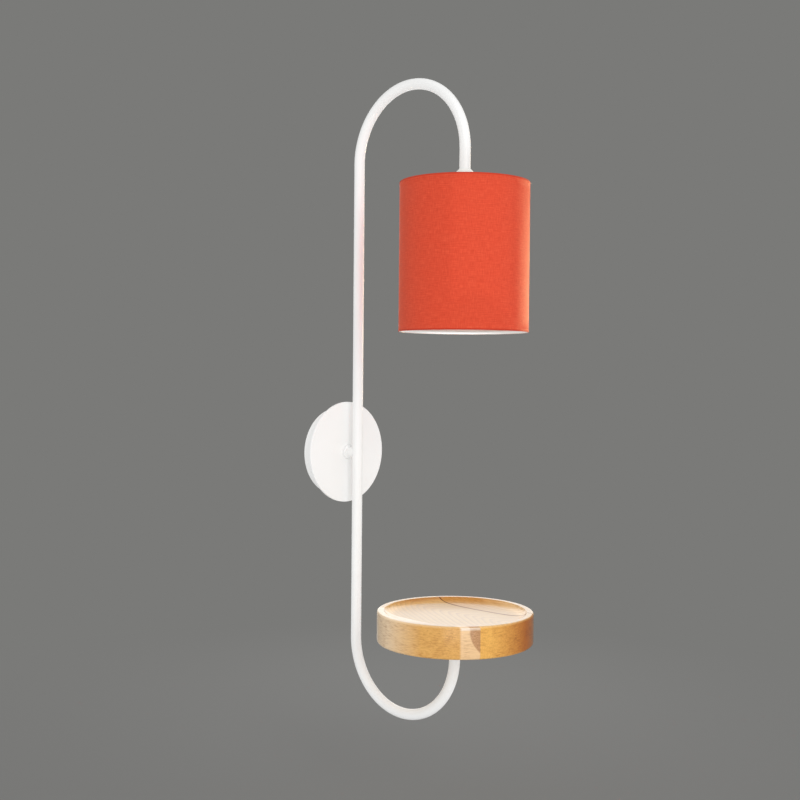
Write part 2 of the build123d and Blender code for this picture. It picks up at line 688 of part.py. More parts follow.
# Shade frame: centre ring on the holder's seat, three bent arms and the top wire ring
frame_ring_middle = holder_seat - frame_ring_thickness / 2
top_ring_height = shade_top - ring_inset - ring_wire_diameter / 2
arm_start = frame_ring_diameter / 2 - ring_wire_diameter / 2
with BuildPart() as shade_frame:
    with Locations((0, -head_reach, holder_seat - frame_ring_thickness)):
        Cylinder(frame_ring_diameter / 2, frame_ring_thickness, align=upright)
        Cylinder(skirt_diameter / 2 + hole_clearance, frame_ring_thickness, align=upright, mode=Mode.SUBTRACT)
    with Locations((0, -head_reach, top_ring_height)):
        Torus(ring_radius, ring_wire_diameter / 2)
    for turn in range(frame_arm_count):
        radial = Plane(head_axis.position, x_dir=(0, 1, 0), z_dir=(1, 0, 0))
        with BuildLine(radial.rotated((0, 0, 360 / frame_arm_count * turn))) as arm_line:
            FilletPolyline(
                (arm_start, frame_ring_middle),
                (arm_start + frame_arm_flat, frame_ring_middle),
                (ring_radius, top_ring_height),
                radius=[frame_arm_bend],
            )
        with BuildSketch(Plane(arm_line.wire() @ 0, z_dir=arm_line.wire() % 0)):
            Circle(ring_wire_diameter / 2)
        sweep(path=arm_line.wire())
keep(shade_frame, "shade_frame")

# Bottom wire ring
with BuildPart() as bottom_ring:
    with Locations((0, -head_reach, shade_bottom + ring_inset + ring_wire_diameter / 2)):
        Torus(ring_radius, ring_wire_diameter / 2)
keep(bottom_ring, "bottom_ring")

# Shade nut: a ribbed ring on the skirt that clamps the frame to the shoulder
nut_top = holder_seat - frame_ring_thickness
with BuildPart() as shade_nut:
    with Locations((0, -head_reach, nut_top - shade_nut_height)):
        Cylinder(shade_nut_diameter / 2, shade_nut_height, align=upright)
        with PolarLocations(shade_nut_diameter / 2, shade_nut_rib_count):
            Cylinder(shade_nut_rib_diameter / 2, shade_nut_height, align=upright)
    with Locations((0, -head_reach, nut_top - shade_nut_flange_height)):
        Cylinder(shade_nut_flange / 2, shade_nut_flange_height, align=upright)
    with Locations((0, -head_reach, nut_top - shade_nut_height)):
        Cylinder(skirt_diameter / 2 + thread_clearance, shade_nut_height, align=upright, mode=Mode.SUBTRACT)
keep(shade_nut, "shade_nut")

# Shade liner and cover: two drums, one glued inside the other
with BuildPart() as shade_liner:
    with Locations((0, -head_reach, shade_bottom)):
        Cylinder(liner_radius, shade_height, align=upright)
        Cylinder(liner_radius - liner_thickness, shade_height, align=upright, mode=Mode.SUBTRACT)
keep(shade_liner, "shade_liner")

with BuildPart() as shade_cover:
    with Locations((0, -head_reach, shade_bottom)):
        Cylinder(shade_diameter / 2, shade_height, align=upright)
        Cylinder(shade_diameter / 2 - cover_thickness, shade_height, align=upright, mode=Mode.SUBTRACT)
keep(shade_cover, "shade_cover")

# Bulb, from its contact down: contact, insulator, screw cap, flared housing and round globe
insulator_top = bulb_top - bulb_contact_height
bulb_cap_top = insulator_top - bulb_insulator_height
housing_top = bulb_cap_top - bulb_cap_length
globe_radius = bulb_diameter / 2
globe_middle = bulb_top - bulb_length + globe_radius
globe_top = housing_top - bulb_housing_height
globe_top_radius = sqrt(globe_radius ** 2 - (globe_top - globe_middle) ** 2)
collar_radius = bulb_cap_radius + bulb_collar_step

with BuildPart() as bulb_contact:
    with Locations((0, -head_reach, insulator_top)):
        Cylinder(bulb_contact_diameter / 2, bulb_contact_height, align=upright)
    fillet(bulb_contact.faces().sort_by(Axis.Z)[-1].edges(), bulb_contact_height / 2)
keep(bulb_contact, "bulb_contact")

with BuildPart() as bulb_insulator:
    with Locations((0, -head_reach, bulb_cap_top)):
        Cone(bulb_insulator_diameter / 2, bulb_contact_diameter / 2, bulb_insulator_height, align=upright)
keep(bulb_insulator, "bulb_insulator")

with BuildPart() as bulb_cap:
    with Locations((0, -head_reach, housing_top)):
        Cylinder(bulb_cap_radius, bulb_cap_length, align=upright)
    fillet(bulb_cap.faces().sort_by(Axis.Z)[-1].edges(), bulb_cap_radius - bulb_insulator_diameter / 2)
keep(bulb_cap, "bulb_cap")

with BuildPart() as bulb_housing:
    with BuildSketch(Plane(head_axis.position, x_dir=(1, 0, 0), z_dir=(0, -1, 0))):
        with BuildLine():
            Line((0, globe_top), (0, housing_top))
            Line((0, housing_top), (collar_radius, housing_top))
            flare = TangentArc((collar_radius, housing_top), (globe_top_radius, globe_top), tangent=(0, -1))
            Line(flare @ 1, (0, globe_top))
        make_face()
    revolve(axis=head_axis)
keep(bulb_housing, "bulb_housing")

with BuildPart() as bulb_globe:
    with BuildSketch(Plane(head_axis.position, x_dir=(1, 0, 0), z_dir=(0, -1, 0))):
        with BuildLine():
            ThreePointArc((0, globe_middle - globe_radius), (globe_radius, globe_middle),
                          (globe_top_radius, globe_top))
            Line((globe_top_radius, globe_top), (0, globe_top))
            Line((0, globe_top), (0, globe_middle - globe_radius))
        make_face()
    revolve(axis=head_axis)
keep(bulb_globe, "bulb_globe")
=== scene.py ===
import math

import bmesh
import bpy
from mathutils import Matrix, Vector


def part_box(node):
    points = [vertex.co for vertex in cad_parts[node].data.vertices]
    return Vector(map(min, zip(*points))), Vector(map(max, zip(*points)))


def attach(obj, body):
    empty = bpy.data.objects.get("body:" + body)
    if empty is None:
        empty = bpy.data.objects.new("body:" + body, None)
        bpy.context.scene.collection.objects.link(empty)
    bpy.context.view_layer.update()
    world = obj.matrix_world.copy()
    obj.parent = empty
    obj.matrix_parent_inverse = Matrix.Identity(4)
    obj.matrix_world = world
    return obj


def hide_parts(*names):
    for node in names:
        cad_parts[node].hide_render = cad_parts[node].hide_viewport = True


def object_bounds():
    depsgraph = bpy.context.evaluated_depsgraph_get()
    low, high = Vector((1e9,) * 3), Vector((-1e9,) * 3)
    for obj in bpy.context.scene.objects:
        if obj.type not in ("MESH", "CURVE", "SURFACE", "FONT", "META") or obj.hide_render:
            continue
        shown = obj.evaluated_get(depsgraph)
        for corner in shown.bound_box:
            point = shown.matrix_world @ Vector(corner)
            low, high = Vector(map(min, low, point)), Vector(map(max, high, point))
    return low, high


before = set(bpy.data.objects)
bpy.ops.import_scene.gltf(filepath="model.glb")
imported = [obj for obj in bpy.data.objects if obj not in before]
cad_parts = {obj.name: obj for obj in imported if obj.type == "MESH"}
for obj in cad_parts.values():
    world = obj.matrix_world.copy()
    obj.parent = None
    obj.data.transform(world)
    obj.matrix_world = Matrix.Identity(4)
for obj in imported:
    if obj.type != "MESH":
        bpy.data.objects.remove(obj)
cad_low, cad_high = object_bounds()

mm_per_metre = 1000.0


def corners(name):
    """A CAD node's lowest and highest corners in millimetres, to the nearest hundredth."""
    return [[round(place * mm_per_metre, 2) for place in corner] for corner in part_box(name)]


# Places and sizes of the lamp in millimetres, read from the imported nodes
arm_low, arm_high = corners("arm_tube")
shade_low, shade_high = corners("shade_cover")
tray_low, tray_high = corners("tray_board_middle")
tube_radius = arm_high[0]
stub_radius = corners("boss_stub")[1][0]
arm_standoff = tube_radius - arm_high[1]
head_reach = -(shade_low[1] + shade_high[1]) / 2
tray_reach = -(tray_low[1] + tray_high[1]) / 2
shade_radius = shade_high[0]
shade_bottom, shade_top = shade_low[2], shade_high[2]
tray_radius = -corners("tray_board_left")[0][0]
tray_bottom, tray_top = tray_low[2], tray_high[2]
tray_middle = -tray_reach
left_joint, right_joint = tray_low[0], tray_high[0]
arm_top_end = corners("holder_cap")[1][2]
flange_bottom = corners("tray_flange")[0][2]
cap_radius = corners("bulb_cap")[1][0]

# The arm's two half circles. Facets stop short of their crowns, so these are rounded to whole millimetres
upper_bend_radius = (head_reach - arm_standoff) / 2
lower_bend_radius = (tray_reach - arm_standoff) / 2
upper_bend_height = round(arm_high[2]) - upper_bend_radius - tube_radius
lower_bend_depth = -round(arm_low[2]) - lower_bend_radius - tube_radius

# Sizes in millimetres that no node's box gives
tube_wall = 1.0
lip_radius = 2.4
foot_radius = 3.0
recess_radius = 77.2
recess_depth = 7.0
thread_pitch = 3.6
socket_bore_radius = 13.3

# Edges that turn by more than this stay sharp in smooth shading
sharp_angle = math.radians(50)


def colour(code):
    """A hex colour as linear red, green, blue and full opacity."""
    shares = [int(code[i:i + 2], 16) / 255 for i in (0, 2, 4)]
    return [s / 12.92 if s <= 0.04045 else ((s + 0.055) / 1.055) ** 2.4 for s in shares] + [1.0]


def node(tree, kind, inputs=None, stops=None, **settings):
    """Add a node with its settings. An input is a plain value, a socket to link, or a node whose first
    output is linked. Stops are the places and hex colours of a ramp."""
    made = tree.nodes.new("ShaderNode" + kind)
    for name, value in settings.items():
        setattr(made, name, value)
    for name, value in (inputs or {}).items():
        if isinstance(value, bpy.types.Node):
            value = value.outputs[0]
        if isinstance(value, bpy.types.NodeSocket):
            tree.links.new(value, made.inputs[name])
        else:
            made.inputs[name].default_value = value
    if stops:
        ramp = made.color_ramp.elements
        ramp.remove(ramp[1])
        ramp[0].position, ramp[0].color = stops[0][0], colour(stops[0][1])
        for place, code in stops[1:]:
            ramp.new(place).color = colour(code)
    return made


def feature_scale(*sizes, unit=1.0):
    """The scale for features of these sizes in mm, where one step of the pattern's places is unit mm."""
    return tuple(unit / size for size in sizes)


def band_scale(spacing):
    """The scale that sets a wave's bands this many mm apart, on places in metres."""
    spacing_at_scale_one = math.tau / 20
    return spacing_at_scale_one * mm_per_metre / spacing


def new_finish(name, **values):
    """A material with its shader's plain values set, returned with its tree and shader."""
    finish = bpy.data.materials.new(name)
    finish.use_nodes = True
    shader = finish.node_tree.nodes["Principled BSDF"]
    for socket, value in values.items():
        shader.inputs[socket.replace("_", " ")].default_value = value
    return finish, finish.node_tree, shader


def dress(tree, shader, tone, gloss, height, depth_mm):
    """Give a shader its colour, its roughness, and a relief of this depth from a height between 0 and 1."""
    relief = node(tree, "Bump", {"Height": height, "Distance": depth_mm / mm_per_metre})
    for socket, source in (("Base Color", tone), ("Roughness", gloss), ("Normal", relief)):
        tree.links.new(source.outputs[0], shader.inputs[socket])


def mottled(name, pale, deep, grain_mm, depth_mm, roughness, **values):
    """A plain surface with soft drifts of tone, uneven gloss and a fine relief."""
    drift_mm = 35
    finish, tree, shader = new_finish(name, **values)
    place = node(tree, "TexCoord").outputs["Object"]
    drift = node(tree, "TexNoise", {"Vector": place, "Scale": mm_per_metre / drift_mm})
    tone = node(tree, "ValToRGB", {"Fac": drift}, [(0.3, pale), (0.7, deep)])
    grain = node(tree, "TexNoise", {"Vector": place, "Scale": mm_per_metre / grain_mm})
    gloss = node(tree, "MapRange", {"Value": grain, "From Min": 0.3, "From Max": 0.7,
                                    "To Min": roughness[0], "To Max": roughness[1]})
    dress(tree, shader, tone, gloss, grain, depth_mm)
    return finish


# Grain that is really finer than half a millimetre is drawn at least that coarse below, so that it shows

# Polyester powder coat baked on steel: an even satin white with a faint orange-peel ripple
powder_coat = mottled("powder_coat_white", "F8F8F7", "F6F6F5",
                      grain_mm=2.2, depth_mm=0.008, roughness=(0.36, 0.44))
# Bright zinc plate on pressed and turned steel: cool grey with cloudy gloss
zinc_plate = mottled("zinc_plated_steel", "C6C9CD", "B4B8BC",
                     grain_mm=1.5, depth_mm=0.01, roughness=(0.25, 0.42), Metallic=1.0)
# Drawn brass, tumbled clean: warm yellow with fine scuffs
drawn_brass = mottled("drawn_brass", "D8B66A", "C49E52",
                      grain_mm=0.8, depth_mm=0.008, roughness=(0.22, 0.38), Metallic=1.0)
# Moulded thermoset plastic: white, with the fine spark-eroded texture of its mould
moulded_plastic = mottled("moulded_white_plastic", "F3F2EE", "EFEEE9",
                          grain_mm=0.6, depth_mm=0.015, roughness=(0.42, 0.55))
# Unglazed steatite porcelain: cream white and slightly sandy
steatite = mottled("steatite_porcelain", "EFEBE1", "E6E1D4",
                   grain_mm=0.5, depth_mm=0.02, roughness=(0.5, 0.7))
# Calendered styrene lining: white and satin, and thin enough to let some of the red cover's light through
styrene_lining = mottled("styrene_lining", "FCEFE8", "FBE9E0",
                         grain_mm=1.2, depth_mm=0.01, roughness=(0.5, 0.62),
                         Subsurface_Weight=0.6, Subsurface_Radius=(0.004, 0.003, 0.003))
# Opal polycarbonate globe: milky white with a satin outside
opal_polycarbonate = mottled("opal_polycarbonate", "F8F7F3", "F5F3EE",
                             grain_mm=1.0, depth_mm=0.004, roughness=(0.28, 0.36),
                             Subsurface_Weight=0.25, Subsurface_Radius=(0.004, 0.004, 0.004))
# Black glass that carries the bulb's contact: poured, deep black and glossy
black_glass = mottled("black_contact_glass", "0B0B0D", "141416",
                      grain_mm=1.5, depth_mm=0.02, roughness=(0.08, 0.16))
# Rolled aluminium of the bulb's cap: pale metal, lightly drawn
rolled_aluminium = mottled("rolled_aluminium", "D9DADB", "C7C9CB",
                           grain_mm=0.9, depth_mm=0.01, roughness=(0.24, 0.4), Metallic=1.0)
# Extruded wire insulation, smooth and slightly waxy
brown_insulation = mottled("brown_wire_insulation", "5A3520", "4B2B19",
                           grain_mm=1.4, depth_mm=0.01, roughness=(0.35, 0.48))
blue_insulation = mottled("blue_wire_insulation", "2462A8", "1D5596",
                          grain_mm=1.4, depth_mm=0.01, roughness=(0.35, 0.48))


def striped_insulation():
    """Extruded earth insulation: green and yellow in slanting stripes, smooth and slightly waxy."""
    stripe_mm = 2.5
    grain_mm = 1.4
    finish, tree, shader = new_finish("green_yellow_wire_insulation")
    place = node(tree, "TexCoord").outputs["Object"]
    stripe = node(tree, "TexWave", {"Vector": place, "Scale": band_scale(stripe_mm), "Distortion": 0.6},
                  bands_direction="DIAGONAL")
    tone = node(tree, "ValToRGB", {"Fac": stripe}, [(0.45, "3F8A2E"), (0.55, "E2C733")])
    grain = node(tree, "TexNoise", {"Vector": place, "Scale": mm_per_metre / grain_mm})
    gloss = node(tree, "MapRange", {"Value": grain, "To Min": 0.35, "To Max": 0.48})
    dress(tree, shader, tone, gloss, grain, depth_mm=0.01)
    return finish


def woven_cotton():
    """Plain-woven cotton stretched on the drum: red-orange with a soft warm shine, faint slubs in both
    threads, a slight bloom of fine fibres where the light grazes it, and a darker turned edge at each hem.
    Real threads are about 0.4 mm apart, too fine to show, so they are drawn 1.1 mm apart."""
    thread_mm = 1.1
    slub_width = 1.0
    weft_slub_length = 9.0
    warp_slub_length = 7.0
    hem_begins, hem_ends = 1.9, 1.3
    finish, tree, shader = new_finish("woven_cotton_red", Sheen_Weight=0.12, Sheen_Roughness=0.5,
                                      Sheen_Tint=colour("FFB070"), Specular_IOR_Level=0.12,
                                      Specular_Tint=colour("FFD896"),
                                      Subsurface_Weight=0.15, Subsurface_Radius=(0.003, 0.001, 0.0006))
    spread = node(tree, "UVMap").outputs["UV"]
    thread = {"Vector": spread, "Scale": band_scale(thread_mm), "Distortion": 1.4, "Detail": 1.0}
    warp = node(tree, "TexWave", thread, bands_direction="X")
    weft = node(tree, "TexWave", thread, bands_direction="Y")
    weave = node(tree, "Math", {0: warp.outputs["Fac"], 1: weft.outputs["Fac"]}, operation="MULTIPLY")
    along = feature_scale(weft_slub_length, slub_width, slub_width, unit=mm_per_metre)
    upward = feature_scale(slub_width, warp_slub_length, slub_width, unit=mm_per_metre)
    drawn_along = node(tree, "Mapping", {"Vector": spread, "Scale": along})
    drawn_up = node(tree, "Mapping", {"Vector": spread, "Scale": upward})
    weft_slubs = node(tree, "TexNoise", {"Vector": drawn_along, "Scale": 1.0, "Detail": 3.0})
    warp_slubs = node(tree, "TexNoise", {"Vector": drawn_up, "Scale": 1.0, "Detail": 3.0})
    slubs = node(tree, "MixRGB", {"Fac": 0.5, "Color1": weft_slubs, "Color2": warp_slubs})
    cloth = node(tree, "ValToRGB", {"Fac": slubs}, [(0.3, "DC4630"), (0.5, "E7533A"), (0.7, "F16347")])
    threads = node(tree, "ValToRGB", {"Fac": weave}, [(0.0, "DEDEDE"), (0.6, "FFFFFF")])
    woven = node(tree, "MixRGB", {"Fac": 0.5, "Color1": cloth, "Color2": threads}, blend_type="MULTIPLY")
    place = node(tree, "TexCoord").outputs["Object"]
    height = node(tree, "SeparateXYZ", {"Vector": place}).outputs["Z"]
    middle = (shade_top + shade_bottom) / 2 / mm_per_metre
    from_middle = node(tree, "Math", {0: height, 1: middle}, operation="SUBTRACT")
    reach = node(tree, "Math", {0: from_middle}, operation="ABSOLUTE")
    edge = (shade_top - shade_bottom) / 2
    hem = node(tree, "MapRange", {"Value": reach, "From Min": (edge - hem_begins) / mm_per_metre,
                                  "From Max": (edge - hem_ends) / mm_per_metre})
    tone = node(tree, "MixRGB", {"Fac": hem, "Color1": woven, "Color2": colour("C83E2B")})
    gloss = node(tree, "MapRange", {"Value": slubs, "To Min": 0.45, "To Max": 0.57})
    dress(tree, shader, tone, gloss, weave, depth_mm=0.1)
    return finish


# Clear lacquer's coat over bare wood, and what is left of it in a glued joint
lacquer_coat = 0.8
joint_coat = 0.1


def growth_rings(tree, mm, at, pith, ring_mm, taper, tones):
    """The yearly rings, from early wood to late wood. They lie round the tree's centre, pith = (x, z) in mm,
    which leans by taper along the board, so they make arches on its flat top, and they sway a little."""
    sway_mm = 14.0
    sway_size = (40, 150, 40)
    broad = node(tree, "Mapping", {"Vector": mm, "Scale": feature_scale(*sway_size)})
    sway = node(tree, "TexNoise", {"Vector": broad, "Scale": 1.0})
    from_pith = node(tree, "VectorMath", {0: mm, 1: (pith[0], 0, pith[1])}, operation="SUBTRACT")
    across = node(tree, "VectorMath", {0: from_pith, 1: (1, 0, 1)}, operation="MULTIPLY")
    radius = node(tree, "VectorMath", {0: across}, operation="LENGTH").outputs["Value"]
    leaning = node(tree, "Math", {0: at["Y"], 1: taper, 2: radius}, operation="MULTIPLY_ADD")
    swayed = node(tree, "Math", {0: sway, 1: sway_mm, 2: leaning}, operation="MULTIPLY_ADD")
    years = node(tree, "Math", {0: swayed, 1: ring_mm}, operation="DIVIDE")
    year = node(tree, "Math", {0: years}, operation="FRACT")
    early, middling, late = tones
    return node(tree, "ValToRGB", {"Fac": year}, [(0.0, early), (0.45, middling), (0.8, late), (1.0, early)])


def side_flecks(tree, wood, mm, level):
    """Short dark flecks in clumps on the turned side, where the fibres were cut across."""
    clump_mm = 11
    fleck_size = (6.5, 8, 0.75)
    laid = node(tree, "Mapping", {"Vector": mm, "Scale": feature_scale(*fleck_size)})
    dashes = node(tree, "TexNoise", {"Vector": laid, "Scale": 1.0, "Detail": 2.0})
    flecks = node(tree, "ValToRGB", {"Fac": dashes}, [(0.42, "FFFFFF"), (0.7, "A87A4A")])
    turned = node(tree, "MapRange", {"Value": level, "From Min": 0.5, "From Max": 0.1, "To Max": 0.5})
    clumps = node(tree, "TexNoise", {"Vector": mm, "Scale": 1 / clump_mm})
    clumped = node(tree, "MapRange", {"Value": clumps, "From Min": 0.38, "From Max": 0.64, "To Min": 0.25})
    strength = node(tree, "Math", {0: turned, 1: clumped}, operation="MULTIPLY")
    return node(tree, "MixRGB", {"Fac": strength, "Color1": wood, "Color2": flecks}, blend_type="MULTIPLY")


def glue_lines(tree, shader, wood, at, glued):
    """Dark lines at the glued joints, where the lacquer has sunk in. They are drawn 1.4 mm wide on the lip
    and 3 mm wide below it, wider than real ones, so that they show."""
    core_half = 0.4
    lip_half = 0.7
    low_half = 1.5
    lip_ends, low_begins = tray_top - 4, tray_top - 6
    for joint in glued:
        off = node(tree, "Math", {0: at["X"], 1: joint}, operation="SUBTRACT")
        off = node(tree, "Math", {0: off}, operation="ABSOLUTE")
        half = node(tree, "MapRange", {"Value": at["Z"], "From Min": lip_ends, "From Max": low_begins,
                                       "To Min": lip_half, "To Max": low_half})
        line = node(tree, "MapRange", {"Value": off, "From Min": half, "From Max": core_half})
        wood = node(tree, "MixRGB", {"Fac": line, "Color1": wood, "Color2": colour("6E3E16")})
        coat = node(tree, "MapRange", {"Value": line, "To Min": lacquer_coat, "To Max": joint_coat})
        tree.links.new(coat.outputs[0], shader.inputs["Coat Weight"])
    return wood


def lacquered_board(name, pith, ring_mm, taper, tones, glued, patches):
    """Turned hardwood under clear lacquer. Growth rings show on level faces, and fibres and pores run along
    Y. Faces that look up are painted a little paler, as painted light, level ones are painted slightly grey,
    as painted shade, and end grain is yellower.
    Fibres, pores and flecks are drawn wider than real ones, so that they show.
    Patches takes the board's tree, its colour, the place in mm, and its grain as fibres and at the end."""
    fibre_size = (1.3, 26, 1.3)
    pore_size = (1.4, 9, 1.4)
    finish, tree, shader = new_finish(name, Specular_IOR_Level=0.2,
                                      Coat_Weight=lacquer_coat, Coat_Roughness=0.18)
    coords = node(tree, "TexCoord").outputs
    mm = node(tree, "Mapping", {"Vector": coords["Object"], "Scale": (mm_per_metre,) * 3})
    at = node(tree, "SeparateXYZ", {"Vector": mm}).outputs
    facing = node(tree, "SeparateXYZ", {"Vector": coords["Normal"]}).outputs
    level = node(tree, "Math", {0: facing["Z"]}, operation="ABSOLUTE")
    rings = growth_rings(tree, mm, at, pith, ring_mm, taper, tones)
    plainness = node(tree, "MapRange", {"Value": level, "To Min": 0.95, "To Max": 0.0})
    wood = node(tree, "MixRGB", {"Fac": plainness, "Color1": rings, "Color2": colour(tones[1])})
    drawn = node(tree, "Mapping", {"Vector": mm, "Scale": feature_scale(*fibre_size)})
    fibres = node(tree, "TexNoise", {"Vector": drawn, "Scale": 1.0, "Detail": 3.0})
    streaks = node(tree, "ValToRGB", {"Fac": fibres}, [(0.3, "E0D2BE"), (0.6, "FFFFFF")])
    wood = node(tree, "MixRGB", {"Fac": 0.5, "Color1": wood, "Color2": streaks}, blend_type="MULTIPLY")
    short = node(tree, "Mapping", {"Vector": mm, "Scale": feature_scale(*pore_size)})
    pores = node(tree, "TexNoise", {"Vector": short, "Scale": 1.0})
    specks = node(tree, "ValToRGB", {"Fac": pores}, [(0.58, "FFFFFF"), (0.72, "A87A4C")])
    wood = node(tree, "MixRGB", {"Fac": 0.25, "Color1": wood, "Color2": specks}, blend_type="MULTIPLY")
    # Painted light: faces that look up are mixed towards a pale tone
    upward = node(tree, "MapRange", {"Value": facing["Z"], "From Min": 0.2, "From Max": 0.5, "To Max": 0.22})
    wood = node(tree, "MixRGB", {"Fac": upward, "Color1": wood, "Color2": colour("FBE3BE")})
    # Painted shade: level faces that look up are darkened slightly grey
    painted_top_shade = node(tree, "MapRange", {"Value": facing["Z"], "From Min": 0.96, "From Max": 0.999})
    wood = node(tree, "MixRGB", {"Fac": painted_top_shade, "Color1": wood, "Color2": colour("D8D8DA")},
                blend_type="MULTIPLY")
    end_grain = node(tree, "Math", {0: facing["Y"]}, operation="ABSOLUTE")
    wood = node(tree, "MixRGB", {"Fac": end_grain, "Color1": wood, "Color2": colour("FCF4E6")},
                blend_type="MULTIPLY")
    wood = patches(tree, wood, at, {"fibres": fibres, "end": end_grain})
    wood = side_flecks(tree, wood, mm, level)
    wood = glue_lines(tree, shader, wood, at, glued)
    gloss = node(tree, "MapRange", {"Value": fibres, "To Min": 0.3, "To Max": 0.45})
    dress(tree, shader, wood, gloss, fibres, depth_mm=0.015)
    return finish


def sap_and_heart(tree, wood, at, grain):
    """Pale sapwood beside the glued edge at the front, with a painted highlight in a band on the lip, and in
    it a dark flame of heartwood whose edge sweeps to the right lower down and fades under the highlight.
    The board's other end is painted paler, as a painted reflection."""
    pale_end_begins, pale_end_full = tray_middle - 24, tray_middle + 23
    front_begins, front_full = tray_middle - 38, tray_middle - 52
    sap_edge, sap_blur = left_joint - 16, 0.8
    flame_edge, flame_blur = left_joint - 9, 0.6
    flame_top, flame_foot = tray_top - 4, tray_bottom + 7
    flame_sweep, flame_bend = 9.0, 2.2
    highlight_low, highlight_blur = tray_top - 3.5, 0.7
    highlight_begins, highlight_full = tray_top - 0.1, tray_top - 1.2
    # Painted reflection: the board's end towards the wall is mixed towards a pale tone
    painted_reflection_end = node(tree, "MapRange", {"Value": at["Y"], "From Min": pale_end_begins,
                                       "From Max": pale_end_full, "To Max": 0.75})
    wood = node(tree, "MixRGB", {"Fac": painted_reflection_end, "Color1": wood, "Color2": colour("F4DFC0")})
    front = node(tree, "MapRange", {"Value": at["Y"], "From Min": front_begins, "From Max": front_full})
    near = node(tree, "MapRange", {"Value": at["X"], "From Min": sap_edge - sap_blur,
                                   "From Max": sap_edge + sap_blur, "To Max": 0.7})
    sap = node(tree, "Math", {0: near, 1: front}, operation="MULTIPLY")
    # Painted highlight: a band on the lip's rounding is mixed towards near white, and the heartwood fades
    # under it
    rising = node(tree, "MapRange", {"Value": at["Z"], "From Min": highlight_low - highlight_blur,
                                     "From Max": highlight_low + highlight_blur})
    turning = node(tree, "MapRange", {"Value": at["Z"], "From Min": highlight_begins, "From Max": highlight_full})
    lip = node(tree, "Math", {0: rising, 1: turning}, operation="MULTIPLY")
    sap_and_highlight_tone = node(tree, "MixRGB", {"Fac": lip, "Color1": colour("F5D2A6"), "Color2": colour("FFF8EC")})
    wood = node(tree, "MixRGB", {"Fac": sap, "Color1": wood, "Color2": sap_and_highlight_tone})
    drop = node(tree, "MapRange", {"Value": at["Z"], "From Min": flame_top, "From Max": flame_foot})
    curve = node(tree, "Math", {0: drop, 1: flame_bend}, operation="POWER")
    swept = node(tree, "Math", {0: curve, 1: -flame_sweep, 2: at["X"]}, operation="MULTIPLY_ADD")
    inside = node(tree, "MapRange", {"Value": swept, "From Min": flame_edge - flame_blur,
                                     "From Max": flame_edge + flame_blur})
    under_highlight = node(tree, "MapRange", {"Value": lip, "To Min": 1.0, "To Max": 0.4})
    heart = node(tree, "Math", {0: inside, 1: front}, operation="MULTIPLY")
    heart = node(tree, "Math", {0: heart, 1: under_highlight}, operation="MULTIPLY")
    heart_tone = node(tree, "ValToRGB", {"Fac": grain["fibres"]}, [(0.3, "B58558"), (0.7, "D2A275")])
    return node(tree, "MixRGB", {"Fac": heart, "Color1": wood, "Color2": heart_tone})


def warm_and_shaded_end(tree, wood, at, grain):
    """End grain that turns redder and darker towards the right: partly the board coming nearer the tree's
    heart, partly painted shade on the side that gets less light.
    """
    warm_begins, warm_full = left_joint + 9, right_joint - 30
    # Partly painted shade: the darkening towards the right also stands for light falling off on that side
    right = node(tree, "MapRange", {"Value": at["X"], "From Min": warm_begins, "From Max": warm_full})
    deep = node(tree, "Math", {0: right, 1: grain["end"]}, operation="MULTIPLY")
    return node(tree, "MixRGB", {"Fac": deep, "Color1": wood, "Color2": colour("BE8C46")},
                blend_type="MULTIPLY")


def dark_far_end(tree, wood, at, grain):
    """Heartwood that shows as a brown shadow towards the wall's end, most of all on the rim."""
    shadow_begins, shadow_full = tray_middle - 27, tray_middle + 28
    floor_height, rim_height = tray_top - 6.8, tray_top - 3
    far = node(tree, "MapRange", {"Value": at["Y"], "From Min": shadow_begins, "From Max": shadow_full})
    high = node(tree, "MapRange", {"Value": at["Z"], "From Min": floor_height, "From Max": rim_height,
                                   "To Min": 0.2})
    heart = node(tree, "Math", {0: far, 1: high}, operation="MULTIPLY")
    heart_tone = node(tree, "ValToRGB", {"Fac": grain["fibres"]}, [(0.3, "BE7E36"), (0.7, "D89848")])
    return node(tree, "MixRGB", {"Fac": heart, "Color1": wood, "Color2": heart_tone})


# Lacquered hardwood, turned: honey tones that differ from board to board
left_board = lacquered_board("lacquered_hardwood_left", pith=(-24, -150), ring_mm=6.5, taper=0.08,
                             tones=("EBB86C", "E7B366", "DCA55A"), glued=[], patches=sap_and_heart)
middle_board = lacquered_board("lacquered_hardwood_middle", pith=(18, -184), ring_mm=6.0, taper=0.5,
                               tones=("F8C670", "F5C068", "E2B062"), glued=[right_joint], patches=warm_and_shaded_end)
right_board = lacquered_board("lacquered_hardwood_right", pith=(104, -196), ring_mm=5.0, taper=0.1,
                              tones=("FACE8C", "F4C27C", "E2AC62"), glued=[right_joint],
                              patches=dark_far_end)

finishes = {
    powder_coat: ["arm_tube", "front_disc", "mounting_cup", "boss_collar", "boss_stub", "tray_flange",
                  "shade_frame", "bottom_ring"],
    zinc_plate: ["wall_bracket", "side_screws", "boss_nipple", "head_nipple", "lock_washer", "lock_nut",
                 "tray_screws", "terminal_screws", "block_screw", "earth_screw", "holder_terminal_screws"],
    drawn_brass: ["terminal_clamps", "earth_tag", "holder_terminals", "socket_shell", "centre_contact"],
    moulded_plastic: ["terminal_block", "holder_cap", "holder_body", "shade_nut", "bulb_housing"],
    steatite: ["holder_core"],
    styrene_lining: ["shade_liner"],
    left_board: ["tray_board_left"],
    middle_board: ["tray_board_middle"],
    right_board: ["tray_board_right"],
    opal_polycarbonate: ["bulb_globe"],
    black_glass: ["bulb_insulator"],
    rolled_aluminium: ["bulb_cap", "bulb_contact"],
    brown_insulation: ["live_wire"],
    blue_insulation: ["neutral_wire"],
    striped_insulation(): ["earth_wire"],
}
